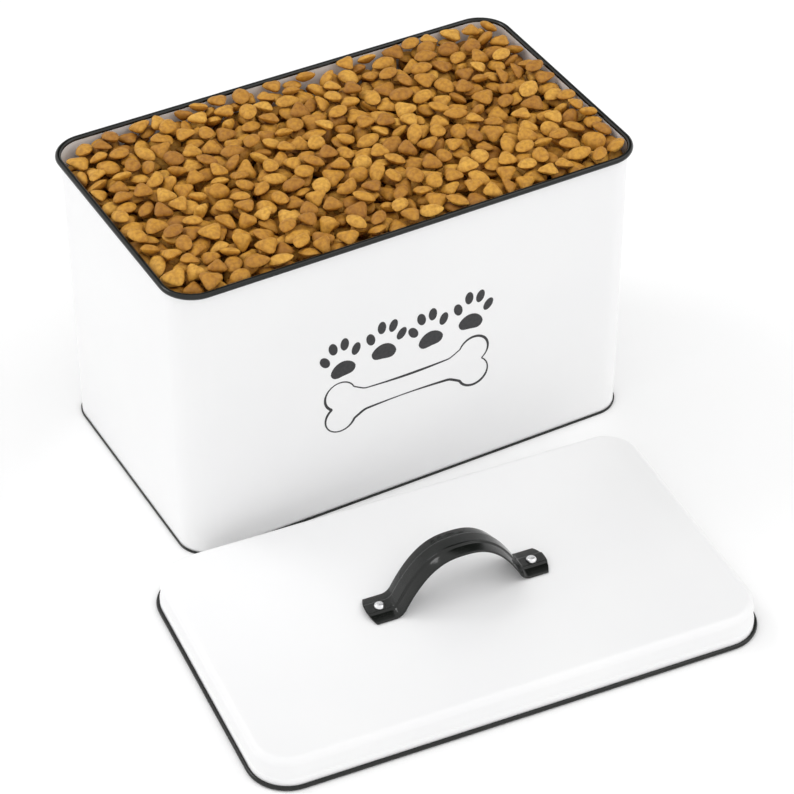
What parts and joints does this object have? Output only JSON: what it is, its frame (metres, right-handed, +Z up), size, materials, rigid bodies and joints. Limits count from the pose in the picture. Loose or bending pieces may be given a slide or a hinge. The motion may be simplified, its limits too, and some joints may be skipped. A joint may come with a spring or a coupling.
{
  "type": "pet food bin",
  "caption": "Rounded rectangular steel storage tin filled with dry pet food, with a separate slip lid lying in front of it that has an arched strap handle.",
  "frame": {"origin": "on the table, under the middle of the box that holds the bin and the lid lying in front of it", "axes": "+Z up, +X along the bin's long side, +Y from the lid towards the bin's back"},
  "size_m": [0.3683, 0.4095, 0.202],
  "materials": {
    "white_powder_coat": "satin",
    "black_enamel": "gloss",
    "bare_steel": "satin",
    "bright_rivet": "polished",
    "kibble": "matte"
  },
  "bodies": {
    "bin": {"bin_wall": "white_powder_coat", "bin_floor": "white_powder_coat", "bin_bottom_hem": "black_enamel", "bin_rim_bead": "black_enamel", "bin_rim_wire": "bare_steel", "kibble": "kibble"},
    "lid": {"lid_pan": "white_powder_coat", "lid_rim_bead": "black_enamel", "lid_rim_wire": "bare_steel", "handle_strap": "black_enamel", "rivet_left": "bright_rivet", "rivet_right": "bright_rivet", "rivet_washer_left": "bare_steel", "rivet_washer_right": "bare_steel"}
  },
  "joints": [
    {"name": "lid_lift", "type": "slide", "parent": "bin", "child": "lid", "axis": [0, 0, 1], "range_m": [0, 0.25]}
  ]
}
